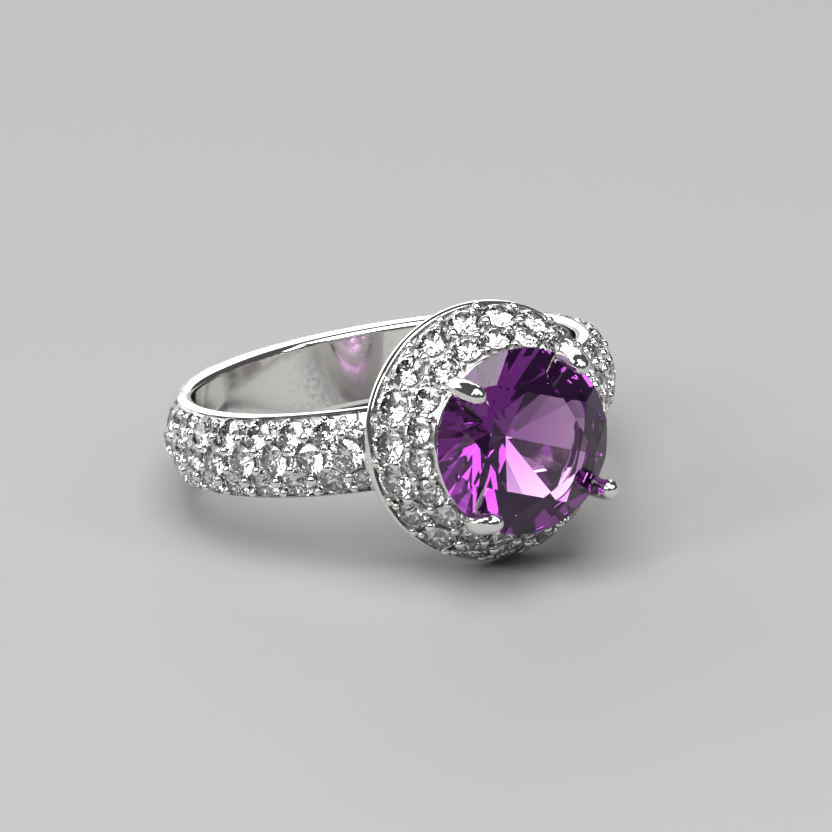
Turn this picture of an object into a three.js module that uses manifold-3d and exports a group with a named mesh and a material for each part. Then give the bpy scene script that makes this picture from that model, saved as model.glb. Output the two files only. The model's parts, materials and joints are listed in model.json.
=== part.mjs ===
// Cocktail ring: a round centre stone in four claws, a raised halo with two rows of small stones,
// and a half-round shank whose shoulders carry three rows of stones each. Sizes in millimetres.
//
// Ring axes: the finger hole runs along Z, the centre stone faces -Y and X runs along the hand's width.
// The finished ring lies on its side, as a ring rests on a table, with +Z up and the table at z = 0.

import * as THREE from 'three';
import { mergeVertices } from 'three/addons/utils/BufferGeometryUtils.js';
import Module from 'manifold-3d';

const wasm = await Module();
wasm.setup();

// ---------- driving dimensions ----------

const FIT = 0.03; // clearance between a set or soldered piece and its neighbour

// Shank: a D section, flat side walls and a dome, from the halo round the finger and back
const BORE_RADIUS = 8.45;
const SHOULDER_BORDER = 0.03; // metal between the outer rows and the shank's side walls
const SHOULDER_SIDE = 0.32;
const SHOULDER_DOME = 1.02;
const BASE_HALF_WIDTH = 1.7;
const BASE_SIDE = 1.2;
const BASE_DOME = 0.4;
const INNER_CHAMFER = 0.12;
const TAPER_START = 100; // degrees round the ring from the centre stone
const TAPER_END = 165;
const SHANK_STEP = 7.5;
const DOME_POINTS = 6;
const PAD_START = 0.885; // from the halo's rim inwards along the shank, where it starts to rise
const PAD_END = 1.91; // and where it has risen to the back of the halo
const PAD_SPARE = 0.03; // the rise goes this far past the halo's back and is then cut flat

// Head: centre stone, claws and the two rails that tie the claws together
const STONE_RADIUS = 4;
const GIRDLE_THICKNESS = 0.16;
const CULET_CLEARANCE = 0.323; // from the level of the halo's back up to the stone's point
const TABLE_RATIO = 0.58;
const CROWN_ANGLE = 34.5;
const PAVILION_ANGLE = 40.75;
const STAR_RATIO = 0.5;
const LOWER_HALF_RATIO = 0.78;
const MAIN_FACETS = 8;
const CLAW_RADIUS = 0.45;
const CLAW_SIDES = 8;
const CLAW_STEPS = 14;
const CLAW_ANGLES = [51, 132, 225, 318]; // round the stone axis, from +X towards +Z
const CLAW_LEAN = 0.05; // the wire's middle has leaned out this far half way up to the seat rail
const CLAW_ELBOW = { out: 0.22, up: 0.7 }; // from the seat rail's outer bottom edge
const CLAW_UNDER = { out: -0.08, up: -0.17 }; // from the middle of the girdle, as are the next three
const CLAW_OVER = { out: 0.06, up: 0.24 };
const CLAW_SHOULDER = { out: 0, up: 0.95 };
const CLAW_TIP = { out: -0.23, up: 1.83 }; // middle of the rounded end, which leans in over the crown
const GALLERY_INSET = 0.45; // from the halo's neck in to the middle of the gallery rail
const GALLERY_WIDTH = 0.8;
const GALLERY_THICKNESS = 0.75;
const SEAT_GAP = 0.08; // between the seat rail and the halo's neck
const SEAT_WIDTH = 0.62;
const SEAT_THICKNESS = 0.4;
const SEAT_DROP = 1.57; // from the middle of the girdle down to the seat rail's underside
const RAIL_SEGMENTS = 32;

// Halo: a raised conical ring with a slightly domed face
const HALO_STANDOFF = 0.97; // from the finger hole up to the halo's flat back
const HALO_RIM_HEIGHT = 0.2;
const HALO_FACE_RUN = 1.87; // the face's width, seen along the stone axis
const HALO_LIP_TUCK = 0.23; // the lip lies this far inside the girdle
const HALO_LIP_DROP = 0.53; // and this far below it
const HALO_LIP_WIDTH = 0.17;
const HALO_BULGE = 0.1;
const HALO_WALL = 1.74; // width of the flat back
const HALO_NECK_STEP = 0.32; // from the lip in to the straight neck
const HALO_NECK_DEPTH = 0.37; // from the lip down to the neck
const HALO_NECK_LENGTH = 1.15;
const FACE_POINTS = 3;

// Small stones: diameter, and proportions shared by all of them
const HALO_COUNT = 19;
const HALO_PHASE = 68.2; // degrees, angle of the first inner stone
const HALO_INNER = { inset: 1.07, gap: 0.1455 }; // down the face from the lip; gap to the next stone
const HALO_OUTER = { inset: 1.109, gap: 0.193 }; // up the face from the rim; gap to the next stone
const SHOULDER_GAP = 0.293; // between the stones of the middle row, where the beads stand
const ROW_GAP = 0.0066; // between a middle stone and its neighbours in the outer rows
const ROW_STAGGER = 0.7345; // the outer rows lie this far along from the middle row
const MIDDLE_ROW = { lead: 0.295, count: 8, diameter: 1.45 }; // first stone, outwards from the rim
const EDGE_ROW = { count: 7, diameter: 1.3 };
const CORNER_STONE = { lead: -0.269, inset: 0.05, diameter: 0.85 }; // inset from the outer row's line
const SMALL_SINK = 0.1; // girdle plane below the metal's surface
const SMALL_SIDES = 6;
const SMALL_GIRDLE = 0.05; // girdle thickness, as a share of the diameter, as are the next three
const SMALL_PAVILION = 0.42;
const SMALL_CROWN = 0.16;
const SMALL_TABLE = 0.6;
const SEAT_OPENING = 0.8; // a seat is cut this far above its girdle
const SEAT_FLARE = 0.3; // and opens outwards by this much on the way, which leaves no fins at the edges
const LINK_WIDTH = 0.3; // thread of metal that holds a shoulder row together as one piece
const LINK_DEPTH = 0.3;
const LINK_HEIGHT = 0.16;

// ---------- small helpers ----------

const radians = THREE.MathUtils.degToRad;
const degrees = THREE.MathUtils.radToDeg;
const vector = (x, y, z) => new THREE.Vector3(x, y, z);
const MERGE_DISTANCE = 1e-5;

// A closed geometry as a solid: vertices merged, triangles that collapsed at an axis dropped.
function toSolid(geometry) {
  const bare = geometry.clone();
  bare.deleteAttribute('normal');
  bare.deleteAttribute('uv');
  const merged = mergeVertices(bare, MERGE_DISTANCE);
  const kept = [];
  for (let i = 0; i < merged.index.count; i += 3) {
    const [a, b, c] = [0, 1, 2].map((k) => merged.index.getX(i + k));
    if (a !== b && b !== c && c !== a) kept.push(a, b, c);
  }
  return new wasm.Manifold(new wasm.Mesh({
    numProp: 3,
    vertProperties: new Float32Array(merged.attributes.position.array),
    triVerts: new Uint32Array(kept),
  }));
}

function toGeometry(solid) {
  const mesh = solid.getMesh();
  const geometry = new THREE.BufferGeometry();
  geometry.setAttribute('position', new THREE.BufferAttribute(new Float32Array(mesh.vertProperties), 3));
  geometry.setIndex(new THREE.BufferAttribute(new Uint32Array(mesh.triVerts), 1));
  geometry.computeVertexNormals();
  return geometry;
}

// Turns an outline of [radius, height] points about the Y axis. The outline runs upwards on its outside.
function revolve(outline, segments, closed) {
  const points = outline.map(([radius, height]) => new THREE.Vector2(radius, height));
  if (closed) points.push(points[0].clone());
  return new THREE.LatheGeometry(points, segments);
}

// Cuts away what lies beyond the plane through three points. inside is a point that stays.
function cutByPlane(solid, a, b, c, inside) {
  const plane = new THREE.Plane().setFromCoplanarPoints(a, b, c);
  if (plane.distanceToPoint(inside) < 0) plane.negate();
  return solid.trimByPlane(plane.normal.toArray(), -plane.constant);
}

function smoothStep(value, start, end) {
  return THREE.MathUtils.smoothstep((value - start) / (end - start), 0, 1);
}

// ---------- sizes that follow from others ----------

// Heights along the stone axis, from the middle of the finger hole, and radii about that axis.
const HALO_BACK = BORE_RADIUS + HALO_STANDOFF;
const PAVILION_DEPTH = STONE_RADIUS * Math.tan(radians(PAVILION_ANGLE));
const GIRDLE_HEIGHT = HALO_BACK + CULET_CLEARANCE + PAVILION_DEPTH + GIRDLE_THICKNESS / 2;
const HALO_LIP_RADIUS = STONE_RADIUS - HALO_LIP_TUCK;
const HALO_RIM_RADIUS = HALO_LIP_RADIUS + HALO_FACE_RUN;
const HALO_TOP = GIRDLE_HEIGHT - HALO_LIP_DROP;
const HALO_FACE_RISE = HALO_TOP - HALO_BACK - HALO_RIM_HEIGHT;
const HALO_NECK_RADIUS = HALO_LIP_RADIUS - HALO_NECK_STEP;
const SEAT_OUTER_RADIUS = HALO_NECK_RADIUS - SEAT_GAP;
const SEAT_HEIGHT = GIRDLE_HEIGHT - SEAT_DROP;
const GALLERY_RADIUS = HALO_NECK_RADIUS - GALLERY_INSET;
const GALLERY_TOP = HALO_BACK - FIT;

// Angles round the finger, in degrees from the centre stone, for lengths along the top of the shank.
const SHOULDER_TOP = BORE_RADIUS + SHOULDER_SIDE + SHOULDER_DOME;
const RIM_ANGLE = degrees(Math.asin(HALO_RIM_RADIUS / SHOULDER_TOP));
const along = (length) => degrees(length / SHOULDER_TOP);
const SHOULDER_PITCH = along(MIDDLE_ROW.diameter + SHOULDER_GAP);
const PAD_START_ANGLE = RIM_ANGLE - along(PAD_START);
const PAD_END_ANGLE = RIM_ANGLE - along(PAD_END);
const PAD_RISE = HALO_BACK / Math.cos(radians(PAD_END_ANGLE)) + PAD_SPARE - SHOULDER_TOP;

// The outer rows nestle against the middle one, and the shank is as wide as the three rows need.
const ROW_REACH = (MIDDLE_ROW.diameter + EDGE_ROW.diameter) / 2 + ROW_GAP;
const EDGE_OFFSET = Math.sqrt(ROW_REACH ** 2 - ROW_STAGGER ** 2);
const SHOULDER_HALF_WIDTH = EDGE_OFFSET + EDGE_ROW.diameter / 2 + SHOULDER_BORDER;

// ---------- places ----------

// Head pieces are modelled with Y along the stone axis; this turns them into ring axes.
const HEAD_TURN = new THREE.Matrix4().makeRotationX(Math.PI);

// A frame whose Y axis is the outward normal and whose X axis runs along the row.
function seatFrame(place, normal, forward) {
  const across = vector(0, 0, 0).crossVectors(forward, normal).normalize();
  const frame = new THREE.Matrix4().makeBasis(forward, normal, across);
  return frame.setPosition(place.clone().addScaledVector(normal, -SMALL_SINK));
}

function shankShape(angle) {
  const away = Math.abs(angle);
  const base = smoothStep(away, TAPER_START, TAPER_END);
  const pad = 1 - smoothStep(away, PAD_END_ANGLE, PAD_START_ANGLE);
  return {
    halfWidth: THREE.MathUtils.lerp(SHOULDER_HALF_WIDTH, BASE_HALF_WIDTH, base),
    edge: BORE_RADIUS + THREE.MathUtils.lerp(SHOULDER_SIDE, BASE_SIDE, base),
    dome: THREE.MathUtils.lerp(SHOULDER_DOME, BASE_DOME, base) + pad * PAD_RISE,
  };
}

// The seat of a shoulder stone: angle round the shank in degrees, offset along the finger.
function shoulderFrame(angle, offset) {
  const { halfWidth, edge, dome } = shankShape(angle);
  const lift = Math.sqrt(1 - (offset / halfWidth) ** 2);
  const out = vector(Math.sin(radians(angle)), -Math.cos(radians(angle)), 0);
  const forward = vector(Math.cos(radians(angle)), Math.sin(radians(angle)), 0);
  const place = out.clone().multiplyScalar(edge + dome * lift).setZ(offset);
  const normal = out.clone().multiplyScalar(lift / dome).setZ(offset / halfWidth ** 2).normalize();
  return seatFrame(place, normal, forward);
}

// The halo's face in [radius, height] from the rim (share 0) to the lip (share 1), with its normal.
const FACE_SLANT = Math.hypot(HALO_FACE_RUN, HALO_FACE_RISE);
const FACE_NORMAL = [HALO_FACE_RISE / FACE_SLANT, HALO_FACE_RUN / FACE_SLANT];

function facePoint(share) {
  const bulge = 4 * HALO_BULGE * share * (1 - share);
  const radius = HALO_RIM_RADIUS - HALO_FACE_RUN * share + bulge * FACE_NORMAL[0];
  const height = HALO_BACK + HALO_RIM_HEIGHT + HALO_FACE_RISE * share + bulge * FACE_NORMAL[1];
  return [radius, height];
}

function haloFrame(share, angle) {
  const [radius, height] = facePoint(share);
  const out = vector(Math.cos(radians(angle)), 0, -Math.sin(radians(angle)));
  const forward = vector(Math.sin(radians(angle)), 0, Math.cos(radians(angle)));
  const place = out.clone().multiplyScalar(radius).setY(height);
  const normal = out.clone().multiplyScalar(FACE_NORMAL[0]).setY(FACE_NORMAL[1]);
  return seatFrame(place, normal, forward).premultiply(HEAD_TURN);
}

// The stones of a halo row fill its circle, but for the gap between each two.
function haloDiameter(share, gap) {
  return 2 * facePoint(share)[0] * Math.sin(Math.PI / HALO_COUNT) - gap;
}

// ---------- stones ----------

// A small brilliant with its girdle at y = 0 and its table up.
function smallStone(diameter) {
  const radius = diameter / 2;
  const girdle = (SMALL_GIRDLE * diameter) / 2;
  return revolve([
    [0, -girdle - SMALL_PAVILION * diameter],
    [radius, -girdle],
    [radius, girdle],
    [radius * SMALL_TABLE, girdle + SMALL_CROWN * diameter],
    [0, girdle + SMALL_CROWN * diameter],
  ], SMALL_SIDES, false);
}

// The hole that a small stone drops into: its own shape with clearance, open above the girdle.
function smallSeat(diameter) {
  const radius = diameter / 2 + FIT;
  const girdle = (SMALL_GIRDLE * diameter) / 2 + FIT;
  return revolve([
    [0, -girdle - SMALL_PAVILION * diameter - FIT],
    [radius, -girdle],
    [radius + SEAT_FLARE, SEAT_OPENING],
    [0, SEAT_OPENING],
  ], SMALL_SIDES, false);
}

// The centre stone, a round brilliant cut facet by facet from a sixteen-sided blank.
// grow moves every facet out by that much, which gives the bearing that holds it.
function centreStone(grow) {
  const radius = STONE_RADIUS + grow;
  const girdle = GIRDLE_THICKNESS / 2 + grow;
  const crown = STONE_RADIUS * (1 - TABLE_RATIO) * Math.tan(radians(CROWN_ANGLE));
  const pavilion = radius * Math.tan(radians(PAVILION_ANGLE));
  const tableRadius = radius * TABLE_RATIO;
  const half = Math.PI / MAIN_FACETS;
  const starRadius = THREE.MathUtils.lerp(tableRadius * Math.cos(half), radius, STAR_RATIO);
  const starHeight = girdle + (radius - starRadius * Math.cos(half)) * (crown / (radius - tableRadius));
  const lowerRadius = radius * (1 - LOWER_HALF_RATIO);
  const lowerHeight = -girdle - (radius - lowerRadius * Math.cos(half)) * (pavilion / radius);
  const at = (r, y, turn) => vector(r * Math.sin(turn), y, r * Math.cos(turn));
  const middle = vector(0, 0, 0);
  const top = girdle + crown;
  const bottom = -girdle - pavilion;
  const blank = revolve([[0, bottom], [radius, bottom], [radius, top], [0, top]], 2 * MAIN_FACETS, false);
  let stone = toSolid(blank);
  for (let i = 0; i < MAIN_FACETS; i += 1) {
    const main = i * 2 * half;
    for (const side of [-1, 1]) {
      const next = main + side * half;
      const star = at(starRadius, starHeight, next);
      const lower = at(lowerRadius, lowerHeight, next);
      stone = cutByPlane(stone, at(radius, girdle, main), at(radius, girdle, next), star, middle);
      stone = cutByPlane(stone, at(radius, -girdle, main), at(radius, -girdle, next), lower, middle);
    }
    const before = at(starRadius, starHeight, main - half);
    const after = at(starRadius, starHeight, main + half);
    stone = cutByPlane(stone, before, after, at(radius, girdle, main), middle);
    const corner = at(tableRadius, top, main);
    const nextCorner = at(tableRadius, top, main + 2 * half);
    stone = cutByPlane(stone, corner, nextCorner, after, middle);
    const lowerBefore = at(lowerRadius, lowerHeight, main - half);
    const lowerAfter = at(lowerRadius, lowerHeight, main + half);
    stone = cutByPlane(stone, lowerBefore, lowerAfter, at(radius, -girdle, main), middle);
  }
  return stone.translate([0, GIRDLE_HEIGHT, 0]);
}

// ---------- shank ----------

// One D section at an angle round the ring, anticlockwise seen from its end.
function shankSection(angle) {
  const { halfWidth, edge, dome } = shankShape(angle);
  const outline = [
    [BORE_RADIUS, INNER_CHAMFER - halfWidth],
    [BORE_RADIUS + INNER_CHAMFER, -halfWidth],
  ];
  for (let i = 0; i <= DOME_POINTS; i += 1) {
    const turn = (Math.PI * i) / DOME_POINTS;
    outline.push([edge + dome * Math.sin(turn), -halfWidth * Math.cos(turn)]);
  }
  outline.push([BORE_RADIUS + INNER_CHAMFER, halfWidth], [BORE_RADIUS, halfWidth - INNER_CHAMFER]);
  const out = vector(Math.sin(radians(angle)), -Math.cos(radians(angle)), 0);
  return outline.map(([radius, z]) => out.clone().multiplyScalar(radius).setZ(z));
}

// The band from one side of the gallery rail, round the finger, to the other side.
function shankBlank() {
  const start = degrees(Math.asin(GALLERY_RADIUS / (BORE_RADIUS + SHOULDER_SIDE)));
  const steps = Math.round((360 - 2 * start) / SHANK_STEP);
  const positions = [];
  const index = [];
  let count = 0;
  for (let i = 0; i <= steps; i += 1) {
    const turn = start + ((360 - 2 * start) * i) / steps;
    const section = shankSection(turn > 180 ? turn - 360 : turn);
    count = section.length;
    section.forEach((point) => positions.push(point.x, point.y, point.z));
  }
  for (let i = 0; i < steps; i += 1) {
    for (let j = 0; j < count; j += 1) {
      const a = i * count + j;
      const b = i * count + ((j + 1) % count);
      index.push(a, a + count, b, b, a + count, b + count);
    }
  }
  for (let j = 1; j < count - 1; j += 1) {
    const last = steps * count;
    index.push(0, j, j + 1, last, last + j + 1, last + j);
  }
  const geometry = new THREE.BufferGeometry();
  geometry.setAttribute('position', new THREE.BufferAttribute(new Float32Array(positions), 3));
  geometry.setIndex(index);
  return toSolid(geometry);
}

// ---------- shoulder rows ----------

// The short bar between two neighbouring seats, below their girdles, made wider by grow for its groove.
function linkBar(from, to, grow) {
  const start = vector(0, -LINK_DEPTH, 0).applyMatrix4(from);
  const end = vector(0, -LINK_DEPTH, 0).applyMatrix4(to);
  const forward = end.clone().sub(start);
  const length = forward.length();
  forward.normalize();
  const up = vector(0, 0, 0).setFromMatrixColumn(from, 1).add(vector(0, 0, 0).setFromMatrixColumn(to, 1));
  up.addScaledVector(forward, -up.dot(forward)).normalize();
  const frame = new THREE.Matrix4().makeBasis(forward, up, vector(0, 0, 0).crossVectors(forward, up));
  frame.setPosition(start.add(end).multiplyScalar(0.5));
  const top = grow > 0 ? LINK_DEPTH + SEAT_OPENING / 2 : LINK_HEIGHT / 2;
  const bottom = -LINK_HEIGHT / 2 - grow;
  const bar = new THREE.BoxGeometry(length, top - bottom, LINK_WIDTH + 2 * grow);
  bar.translate(0, (top + bottom) / 2, 0);
  return toSolid(bar.applyMatrix4(frame));
}

function rowFrames(lead, count, side, offset) {
  const frames = [];
  for (let i = 0; i < count; i += 1) {
    frames.push(shoulderFrame(side * (RIM_ANGLE + along(lead) + i * SHOULDER_PITCH), offset));
  }
  return frames;
}

function rowSolid(frames, shape, grow) {
  const stones = frames.map((frame) => toSolid(shape.clone().applyMatrix4(frame)));
  const links = frames.slice(1).map((frame, i) => linkBar(frames[i], frame, grow));
  return wasm.Manifold.union([...stones, ...links]);
}

// ---------- head ----------

function haloBlank() {
  const outline = [
    [HALO_RIM_RADIUS - HALO_WALL, HALO_BACK],
    [HALO_RIM_RADIUS, HALO_BACK],
  ];
  for (let i = 0; i <= FACE_POINTS; i += 1) outline.push(facePoint(i / FACE_POINTS));
  outline.push(
    [HALO_LIP_RADIUS - HALO_LIP_WIDTH, HALO_TOP],
    [HALO_NECK_RADIUS, HALO_TOP - HALO_NECK_DEPTH],
    [HALO_NECK_RADIUS, HALO_TOP - HALO_NECK_DEPTH - HALO_NECK_LENGTH],
  );
  return toSolid(revolve(outline, 2 * HALO_COUNT, true));
}

function rail(innerRadius, width, bottom, thickness) {
  return toSolid(revolve([
    [innerRadius, bottom],
    [innerRadius + width, bottom],
    [innerRadius + width, bottom + thickness],
    [innerRadius, bottom + thickness],
  ], RAIL_SEGMENTS, true));
}

// A claw's wire stands on the gallery rail, follows the stone out and stands up past its girdle.
// The stone's edge is let into it, and its rounded end leans in over the crown.
function clawWire(angle, grow) {
  const path = [
    [GALLERY_RADIUS, GALLERY_TOP + FIT],
    [GALLERY_RADIUS + CLAW_LEAN, (GALLERY_TOP + SEAT_HEIGHT) / 2],
    [SEAT_OUTER_RADIUS, SEAT_HEIGHT],
    [SEAT_OUTER_RADIUS + CLAW_ELBOW.out, SEAT_HEIGHT + CLAW_ELBOW.up],
    [STONE_RADIUS + CLAW_UNDER.out, GIRDLE_HEIGHT + CLAW_UNDER.up],
    [STONE_RADIUS + CLAW_OVER.out, GIRDLE_HEIGHT + CLAW_OVER.up],
    [STONE_RADIUS + CLAW_SHOULDER.out, GIRDLE_HEIGHT + CLAW_SHOULDER.up],
    [STONE_RADIUS + CLAW_TIP.out, GIRDLE_HEIGHT + CLAW_TIP.up],
  ].map(([radius, height]) => vector(
    radius * Math.cos(radians(angle)), height, -radius * Math.sin(radians(angle)),
  ));
  const round = new THREE.Shape();
  round.absarc(0, 0, CLAW_RADIUS + grow, 0, 2 * Math.PI, false);
  const wire = new THREE.ExtrudeGeometry(round, {
    curveSegments: CLAW_SIDES,
    steps: CLAW_STEPS,
    bevelEnabled: false,
    extrudePath: new THREE.CatmullRomCurve3(path),
  });
  const tip = new THREE.SphereGeometry(CLAW_RADIUS + grow, CLAW_SIDES, CLAW_SIDES / 2);
  tip.translate(...path[path.length - 1].toArray());
  return toSolid(wire).add(toSolid(tip));
}

// ---------- the tilt at which the ring lies ----------

// On its side the ring touches the table with the halo's rim and with the shank's rounded base.
// The two touch the table together where their heights below the ring's middle agree.
const TILT_HALVINGS = 50;

function restTilt() {
  const edge = BORE_RADIUS + BASE_SIDE;
  let low = 0;
  let high = Math.PI / 4;
  for (let i = 0; i < TILT_HALVINGS; i += 1) {
    const tilt = (low + high) / 2;
    const rim = HALO_RIM_RADIUS * Math.cos(tilt) - HALO_BACK * Math.sin(tilt);
    const dome = Math.hypot(BASE_DOME * Math.sin(tilt), BASE_HALF_WIDTH * Math.cos(tilt));
    const base = edge * Math.sin(tilt) + dome;
    if (rim > base) low = tilt;
    else high = tilt;
  }
  return low;
}

// ---------- assembly ----------

const metal = { color: 0xd6d3ce, roughness: 0.18, metalness: 1 };
const amethyst = { color: 0x5b2379, roughness: 0.05, metalness: 0 };
const brilliant = { color: 0xe9e7ec, roughness: 0.05, metalness: 0 };

const ring = new THREE.Group();

function addPiece(name, geometry, look) {
  const piece = new THREE.Mesh(geometry, new THREE.MeshStandardMaterial(look));
  piece.name = name;
  ring.add(piece);
  return piece;
}

// Small stones: one shape for each size, placed by its frame.
const innerShare = 1 - HALO_INNER.inset / FACE_SLANT;
const outerShare = HALO_OUTER.inset / FACE_SLANT;
const haloRows = [
  { name: 'halo_inner_stone', share: innerShare, gap: HALO_INNER.gap, phase: HALO_PHASE },
  { name: 'halo_outer_stone', share: outerShare, gap: HALO_OUTER.gap, phase: HALO_PHASE + 180 / HALO_COUNT },
];
const haloSeats = [];
for (const { name, share, gap, phase } of haloRows) {
  const shape = smallStone(haloDiameter(share, gap));
  const seat = smallSeat(haloDiameter(share, gap));
  for (let i = 0; i < HALO_COUNT; i += 1) {
    const frame = haloFrame(share, phase + (i * 360) / HALO_COUNT);
    addPiece(`${name}_${i + 1}`, shape, brilliant).applyMatrix4(frame);
    haloSeats.push(toSolid(seat.clone().applyMatrix4(frame)));
  }
}

const shoulderSeats = [];
for (const side of [-1, 1]) {
  const hand = side < 0 ? 'left' : 'right';
  const edgeLead = MIDDLE_ROW.lead + ROW_STAGGER;
  const rows = [
    { name: 'middle', row: MIDDLE_ROW, lead: MIDDLE_ROW.lead, offset: 0 },
    { name: 'upper', row: EDGE_ROW, lead: edgeLead, offset: EDGE_OFFSET },
    { name: 'lower', row: EDGE_ROW, lead: edgeLead, offset: -EDGE_OFFSET },
  ];
  for (const { name, row, lead, offset } of rows) {
    const frames = rowFrames(lead, row.count, side, offset);
    addPiece(`${hand}_${name}_row`, toGeometry(rowSolid(frames, smallStone(row.diameter), 0)), brilliant);
    shoulderSeats.push(rowSolid(frames, smallSeat(row.diameter), FIT));
  }
  for (const sign of [1, -1]) {
    const offset = sign * (EDGE_OFFSET - CORNER_STONE.inset);
    const [frame] = rowFrames(CORNER_STONE.lead, 1, side, offset);
    const name = `${hand}_${sign > 0 ? 'upper' : 'lower'}_corner_stone`;
    addPiece(name, smallStone(CORNER_STONE.diameter), brilliant).applyMatrix4(frame);
    shoulderSeats.push(toSolid(smallSeat(CORNER_STONE.diameter).applyMatrix4(frame)));
  }
}

// The head, in its own axes and then turned into the ring's.
const turned = (solid) => solid.transform(HEAD_TURN.toArray());
const bearing = turned(centreStone(FIT));
const clawSockets = CLAW_ANGLES.map((angle) => turned(clawWire(angle, FIT)));
const nearStones = wasm.Manifold.union(haloSeats);

CLAW_ANGLES.forEach((angle, i) => {
  const claw = turned(clawWire(angle, 0)).subtract(bearing).subtract(nearStones);
  addPiece(`claw_${i + 1}`, toGeometry(claw), metal);
});

const seatInner = SEAT_OUTER_RADIUS - SEAT_WIDTH;
const seatRail = turned(rail(seatInner, SEAT_WIDTH, SEAT_HEIGHT, SEAT_THICKNESS));
addPiece('seat_rail', toGeometry(wasm.Manifold.difference([seatRail, bearing, ...clawSockets])), metal);

const galleryInner = GALLERY_RADIUS - GALLERY_WIDTH / 2;
const gallery = rail(galleryInner, GALLERY_WIDTH, GALLERY_TOP - GALLERY_THICKNESS, GALLERY_THICKNESS);
addPiece('gallery_rail', toGeometry(turned(gallery)), metal);

const halo = wasm.Manifold.difference([turned(haloBlank()), ...haloSeats, ...clawSockets]);
addPiece('halo', toGeometry(halo), metal);
addPiece('centre_stone', toGeometry(turned(centreStone(0))), amethyst);

// The shank's ends are coped round the gallery rail and cut flat under the halo.
const copeRadius = GALLERY_RADIUS + GALLERY_WIDTH / 2 + FIT;
const cope = turned(toSolid(revolve([
  [0, 0], [copeRadius, 0], [copeRadius, GIRDLE_HEIGHT], [0, GIRDLE_HEIGHT],
], RAIL_SEGMENTS, false)));
const shank = wasm.Manifold.difference([shankBlank(), ...shoulderSeats, cope])
  .trimByPlane([0, 1, 0], FIT - HALO_BACK);
addPiece('shank', toGeometry(shank), metal);

// Lay the ring on its side and stand its box on the origin.
ring.rotation.x = -restTilt();
ring.updateMatrixWorld(true);
const box = new THREE.Box3().setFromObject(ring, true);
ring.position.set(-(box.min.x + box.max.x) / 2, -(box.min.y + box.max.y) / 2, -box.min.z);

export default ring;
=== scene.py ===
# %% [markdown]
# A cocktail ring lies on its side: a round purple stone in four claws, a raised halo of small
# brilliants, and a polished band whose shoulders are paved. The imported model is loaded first. It
# stays fixed, and every finished piece goes where the model's own pieces are.

import json
import math
import random

import bpy
from mathutils import Matrix, Vector


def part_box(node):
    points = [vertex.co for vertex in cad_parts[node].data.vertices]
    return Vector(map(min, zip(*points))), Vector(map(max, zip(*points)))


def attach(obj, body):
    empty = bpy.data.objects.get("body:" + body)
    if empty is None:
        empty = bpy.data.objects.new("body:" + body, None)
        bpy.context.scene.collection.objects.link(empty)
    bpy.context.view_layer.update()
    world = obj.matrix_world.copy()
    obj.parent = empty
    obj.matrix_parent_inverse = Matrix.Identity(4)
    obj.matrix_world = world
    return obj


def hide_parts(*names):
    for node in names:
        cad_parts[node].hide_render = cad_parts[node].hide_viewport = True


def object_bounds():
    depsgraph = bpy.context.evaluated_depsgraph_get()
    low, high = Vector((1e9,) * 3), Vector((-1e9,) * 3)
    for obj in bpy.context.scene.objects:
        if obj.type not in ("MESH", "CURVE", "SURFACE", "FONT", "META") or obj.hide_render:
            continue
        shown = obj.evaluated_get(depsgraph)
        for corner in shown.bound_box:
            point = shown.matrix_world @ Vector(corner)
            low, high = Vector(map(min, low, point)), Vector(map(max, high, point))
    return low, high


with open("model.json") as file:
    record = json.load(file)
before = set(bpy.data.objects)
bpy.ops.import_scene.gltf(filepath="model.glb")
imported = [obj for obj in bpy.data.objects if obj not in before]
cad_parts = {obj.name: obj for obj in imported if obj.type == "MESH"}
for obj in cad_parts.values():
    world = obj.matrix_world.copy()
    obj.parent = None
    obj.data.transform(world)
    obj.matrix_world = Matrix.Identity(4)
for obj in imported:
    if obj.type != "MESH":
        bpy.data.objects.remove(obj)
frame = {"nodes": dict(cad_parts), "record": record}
low_before, high_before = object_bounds()
print("the model's box, mm:", [round(1000 * s, 2) for s in high_before - low_before])

# %% [markdown]
# A jeweller holds a ring upright at the bench, not tilted on a table, so each piece is made in
# bench axes: millimetres, with the finger hole along Z and the purple stone towards -Y. The mount
# called finger gives the middle and the axis of the hole, and with them the one matrix that lays a
# bench piece down into the model. Head pieces are turned about the stone's axis, so they are made
# with that axis upright, and head_turn brings them to the bench. The model is in metres, so half of
# a round piece's width times a thousand is its radius on the bench.

# %% Bench axes
mounts = {mount["name"]: mount for mount in frame["record"]["mounts"]}
hole_middle = Vector(mounts["finger"]["pos_m"])
hole_axis = Vector(mounts["finger"]["axis"]).normalized()
across = Vector((1, 0, 0))
bench_to_model = Matrix((across, hole_axis.cross(across), hole_axis)).transposed().to_4x4()
bench_to_model.translation = hole_middle
bench_to_model = bench_to_model @ Matrix.Scale(0.001, 4)
head_turn = Matrix.Rotation(math.radians(90), 4, "X")
rest_tilt = math.atan2(hole_axis.y, hole_axis.z)


def bench_radius(node):
    low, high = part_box(node)
    return 500 * (high.x - low.x)


print("the ring lies tilted by", round(math.degrees(rest_tilt), 2), "degrees")

# %% [markdown]
# The camera comes first, because everything is judged through it. A small ring looks natural from
# a little under half a metre with a long lens, which keeps its round parts free of distortion. The camera
# stands a little to the left and above, and is rolled slightly.

# %% Camera
CAMERA_AZIMUTH = math.radians(-25.24)
CAMERA_HEIGHT = math.radians(22.63)
CAMERA_ROLL = math.radians(-4.14)
CAMERA_DISTANCE = 0.4299
CAMERA_LENS = 426.5
CAMERA_ASIDE = (0.00116, -0.00057)

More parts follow.
